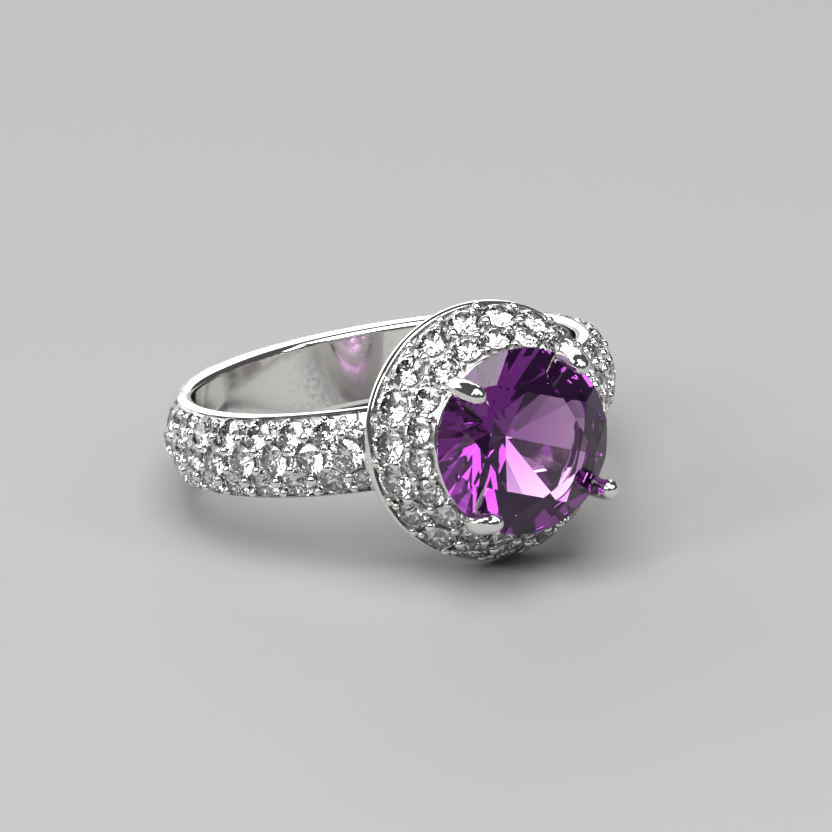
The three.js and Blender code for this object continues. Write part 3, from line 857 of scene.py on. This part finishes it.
# %% [markdown]
# Eight steps of the spin go to each stone of a row, so every stone meets the metal in the same way.
# The cut-back ground between the rim and the lip is left rough, and darker as painted shade, as on the
# band.

# %% Spin the halo and drill it
halo = outline_object(halo_outline(), "halo_metal")
spin_round(halo, 8 * HALO_COUNT)
cut_away(halo, halo_drill)


# The halo's recessed ground gets the rougher metal, whose darker colour is painted shade.
def is_shaded_halo_ground(point):
    out = math.hypot(point.x, point.y)
    share = (point.z - HALO_BACK - RIM_HEIGHT) / FACE_RISE
    if share < 0.03 or share > 0.97:
        return False
    radius = face_point(share)[0]
    return 0.08 < (radius - out) * math.cos(face_tilt) and out > NECK_RADIUS + 0.12


polish_and_paint_ground_shade(halo, is_shaded_halo_ground)
print("halo:", len(halo.data.polygons), "faces")

# %% [markdown]
# Each claw is a wire that stands on the gallery rail, follows the stone outwards and stands up past
# its girdle, where the setter has filed its end to a smooth bean that leans in over the crown. A
# curve with a round section and a radius of its own at each point gives exactly that. Each point of
# the path is a distance from the stone's axis, a height and a thickness.

# %% The claws' path
CLAW_ANGLES = (51, 132, 225, 318)
CLAW_RADIUS = 0.45
SEAT_OUTER = bench_radius("seat_rail")
SEAT_HEIGHT = 11.7
SEAT_THICKNESS = 0.4
CLAW_PATH = (
    (GALLERY_RADIUS - 0.4, HALO_BACK, 0.9),
    (GALLERY_RADIUS - 0.35, 10.55, 0.9),
    (SEAT_OUTER, SEAT_HEIGHT, 0.92),
    (SEAT_OUTER + 0.22, SEAT_HEIGHT + 0.7, 0.96),
    (stone_radius - 0.08, girdle_height - 0.17, 1.0),
    (stone_radius + 0.06, girdle_height + 0.24, 1.03),
    (stone_radius + 0.05, girdle_height + 0.75, 1.05),
    (stone_radius - 0.03, girdle_height + 1.2, 1.05),
    (stone_radius - 0.13, girdle_height + 1.6, 1.0),
    (stone_radius - 0.21, girdle_height + 1.9, 0.88),
    (stone_radius - 0.26, girdle_height + 2.08, 0.68),
    (stone_radius - 0.29, girdle_height + 2.19, 0.4),
    (stone_radius - 0.3, girdle_height + 2.235, 0.12),
)
print("each claw's wire has", len(CLAW_PATH), "points")

# %% [markdown]
# The wires are made meshes one by one. Where a claw passes through the halo, its own shape, a shade
# larger, is cut out of the halo, so that the claw stands in a close-fitting groove.

# %% Bend the claws
PASSAGE = 0.02


def bend_claw(index, degrees):
    start_clean()
    wire = bpy.data.curves.new(f"claw_{index}_wire", "CURVE")
    wire.dimensions = "3D"
    wire.bevel_depth = CLAW_RADIUS
    wire.bevel_resolution = 6
    wire.resolution_u = 8
    wire.use_fill_caps = True
    line = wire.splines.new("BEZIER")
    line.bezier_points.add(len(CLAW_PATH) - 1)
    turn = math.radians(degrees)
    for point, (radius, height, thickness) in zip(line.bezier_points, CLAW_PATH):
        point.co = (radius * math.cos(turn), radius * math.sin(turn), height)
        point.handle_left_type = point.handle_right_type = "AUTO"
        point.radius = thickness
    claw = bpy.data.objects.new(f"claw_metal_{index}", wire)
    bpy.context.scene.collection.objects.link(claw)
    pick(claw)
    bpy.ops.object.convert(target="MESH")
    claw = bpy.context.object
    bpy.ops.object.mode_set(mode="EDIT")
    bpy.ops.mesh.select_all(action="SELECT")
    bpy.ops.mesh.remove_doubles(threshold=1e-4)
    bpy.ops.mesh.normals_make_consistent(inside=False)
    bpy.ops.object.mode_set(mode="OBJECT")
    return claw


def copy_of(piece, grow=0.0):
    other = piece.copy()
    other.data = piece.data.copy()
    bpy.context.scene.collection.objects.link(other)
    if grow:
        for vertex in other.data.vertices:
            vertex.co += vertex.normal * grow
    return other


claws = [bend_claw(i + 1, degrees) for i, degrees in enumerate(CLAW_ANGLES)]
for claw in claws:
    cut_away(halo, copy_of(claw, PASSAGE))
smooth(halo, 32)
lay_down(halo, head_turn)
hand_in(halo, "polished_metal", "halo")
print("halo with its grooves:", len(halo.data.polygons), "faces")

# %% [markdown]
# Two plain rings tie the claws together: the gallery rail under the head, which the band's ends are
# soldered to, and the seat rail half way up, whose inner edge carries the stone. Each is an outline
# spun round, with its edges eased by a small bevel.

# %% Rails
def rail(name, outer, width, bottom, thickness):
    inner, top = outer - width, bottom + thickness
    points = [(inner, bottom), (outer, bottom), (outer, top), (inner, top)]
    ring = outline_object(points, name)
    spin_round(ring, 96)
    pick(ring)
    ease_edges = ring.modifiers.new("eased edges", "BEVEL")
    ease_edges.width = 0.07
    ease_edges.segments = 4
    ease_edges.limit_method = "ANGLE"
    bpy.ops.object.modifier_apply(modifier=ease_edges.name)
    ring.data.materials.append(bright_metal)
    return ring


GALLERY_WIDTH = 0.8
GALLERY_THICKNESS = 0.75
gallery_bottom = HALO_BACK - JOINT_GAP - GALLERY_THICKNESS
gallery = rail("gallery_metal", GALLERY_RADIUS, GALLERY_WIDTH, gallery_bottom, GALLERY_THICKNESS)
smooth(gallery, 40)
lay_down(gallery, head_turn)
hand_in(gallery, "polished_metal", "gallery_rail")

SEAT_WIDTH = 0.62
seat_rail = rail("seat_metal", SEAT_OUTER, SEAT_WIDTH, SEAT_HEIGHT, SEAT_THICKNESS)
for claw in claws:
    cut_away(seat_rail, copy_of(claw, PASSAGE))
cut_away(seat_rail, copy_of(bearing))
smooth(seat_rail, 40)
lay_down(seat_rail, head_turn)
hand_in(seat_rail, "polished_metal", "seat_rail")
print("rails:", gallery.name, "and", seat_rail.name)

# %% [markdown]
# Last of the head, the stone's own shape is cut out of each claw. That notch is what really holds a
# stone, because its girdle sits inside the metal.

# %% Notch the claws
for i, claw in enumerate(claws):
    cut_away(claw, copy_of(bearing))
    claw.data.materials.clear()
    claw.data.materials.append(bright_metal)
    smooth(claw, 40)
    lay_down(claw, head_turn)
    hand_in(claw, "polished_metal", f"claw_{i + 1}")
bpy.data.objects.remove(bearing)
print("claws notched:", len(claws))

# %% [markdown]
# What holds a small stone is a handful of beads. The setter raises a burr of metal with a graver and
# rolls it into a round grain over the stone's edge. One grain is modelled: a disc drawn up, narrowed
# and closed to a dome. Copies stand wherever three stones leave a gap, and along the borders.

# %% Raise one bead
BEAD_RADIUS = 0.215
BEAD_ROOT = (0, 0, -0.3)
BEAD_STEPS = ((0.3, 0.94), (0.08, 0.95), (0.06, 0.84), (0.045, 0.62), (0.015, 0.35))


def raise_bead():
    start_clean()
    foot = BEAD_RADIUS * 1.1
    bpy.ops.mesh.primitive_circle_add(vertices=10, radius=foot, fill_type="NGON", location=BEAD_ROOT)
    bead = bpy.context.object
    bpy.ops.object.transform_apply(location=True, rotation=False, scale=False)
    bpy.ops.object.mode_set(mode="EDIT")
    bpy.ops.mesh.select_all(action="SELECT")
    for rise, narrow in BEAD_STEPS:
        bpy.ops.mesh.extrude_region_move(TRANSFORM_OT_translate={"value": (0, 0, rise)})
        bpy.ops.transform.resize(value=(narrow, narrow, 1))
    bpy.ops.mesh.select_all(action="SELECT")
    bpy.ops.mesh.normals_make_consistent(inside=False)
    bpy.ops.object.mode_set(mode="OBJECT")
    bead.data.materials.append(bright_metal)
    return bead


first_bead = raise_bead()
print("a bead has", len(first_bead.data.polygons), "faces")

# %% [markdown]
# The copies of one group are joined into one piece, since hundreds of separate grains would only
# slow the scene down.

# %% Set a group of beads
def set_beads(name, places, turn):
    beads = []
    for place, size in places:
        bead = copy_of(first_bead)
        bead.data.transform(place @ Matrix.Scale(size, 4))
        beads.append(bead)
    whole = joined(beads, name)
    smooth(whole, 50)
    lay_down(whole, turn)
    hand_in(whole, "polished_metal")
    print(name, len(places))


print("beads are", round(2 * BEAD_RADIUS, 2), "mm across")

# %% [markdown]
# On the halo five beads go with each stone of a row. Each is given by its distance from the stone's
# axis, its angle past the inner stone and its size. On a shoulder there are pairs of beads between
# the middle stones, between the rows and along both borders.

# %% Set the beads
BEAD_SINK = 0.02
HALO_BEADS = (
    (4.87, 0, 1.15),
    (4.50, halo_pitch / 2, 1.0),
    (5.40, -0.9, 1.0),
    (5.30, 2.4, 0.8),
    (4.02, halo_pitch / 2 + 0.6, 0.9),
)
halo_beads = []
for i in range(HALO_COUNT):
    at = HALO_PHASE + halo_pitch * i
    halo_beads += [(halo_seat(radius, at + past, BEAD_SINK), size) for radius, past, size in HALO_BEADS]
set_beads("halo_beads", halo_beads, head_turn)

for hand, side in (("left", -1), ("right", 1)):
    places = []
    for i in range(MIDDLE_ROW["count"]):
        middle_at = side * (MIDDLE_ROW["start"] + ROW_PITCH * i)
        between = middle_at + side * ROW_PITCH / 2
        for sign in (-1, 1):
            if i < MIDDLE_ROW["count"] - 1:
                places.append((shoulder_seat(between, sign * 0.42, BEAD_SINK), 1.0))
            if i < EDGE_ROW["count"]:
                places.append((shoulder_seat(middle_at, sign * 0.95, BEAD_SINK), 1.15))
                places.append((shoulder_seat(middle_at - side * 0.6, sign * 1.52, BEAD_SINK), 0.9))
    set_beads(f"{hand}_shoulder_beads", places, upright)
bpy.data.objects.remove(first_bead)

# %% [markdown]
# The ring lies on a plain pale table, which catches its soft shadow. The table isn't part of the
# object, so it is only staged.

# %% Table
start_clean()
bpy.ops.mesh.primitive_plane_add(size=3, location=(0, 0, 0))
table_top = bpy.context.object
table_top.name = "table_top"
table_cloth = bpy.data.materials.new("pale table")
table_cloth.use_nodes = True
paint = table_cloth.node_tree.nodes["Principled BSDF"]
paint.inputs["Base Color"].default_value = (0.32, 0.318, 0.315, 1)
paint.inputs["Roughness"].default_value = 0.8
table_top.data.materials.append(table_cloth)
print("table:", table_top.name)

# %% [markdown]
# The studio light is a large softbox overhead, a broad low one behind, which the claws and the top
# of the band mirror, and small ones at the sides for the stones. The room stays dim, because a gem
# needs something dark to reflect as much as it needs something bright. A softbox is a rectangular
# area light that faces the ring, placed by its azimuth and height in degrees and its distance in
# metres.

# %% Light
ring_middle = (low_before + high_before) / 2


def softbox(name, azimuth, height, distance, size, power):
    lamp = bpy.data.lights.new(name, "AREA")
    lamp.shape = "RECTANGLE"
    lamp.size, lamp.size_y = size
    lamp.energy = power
    box = bpy.data.objects.new(name, lamp)
    bpy.context.scene.collection.objects.link(box)
    a, e = math.radians(azimuth), math.radians(height)
    away = Vector((math.sin(a) * math.cos(e), -math.cos(a) * math.cos(e), math.sin(e)))
    box.location = ring_middle + away * distance
    box.rotation_mode = "QUATERNION"
    box.rotation_quaternion = away.to_track_quat("Z", "Y")


softbox("overhead", -25, 72, 0.5, (0.5, 0.5), 4.2)
softbox("back_panel", 180, 16, 0.6, (0.95, 0.4), 2.6)
softbox("left_panel", -85, 34, 0.5, (0.08, 0.2), 0.7)
softbox("front_panel", 38, 38, 0.6, (0.08, 0.2), 0.6)
softbox("sparkle", -60, 40, 0.6, (0.03, 0.03), 0.15)
world = bpy.data.worlds.new("dim room")
bpy.context.scene.world = world
world.use_nodes = True
world.node_tree.nodes["Background"].inputs["Color"].default_value = (0.8, 0.82, 0.85, 1)
world.node_tree.nodes["Background"].inputs["Strength"].default_value = 0.1
bpy.context.scene.view_settings.view_transform = "Standard"
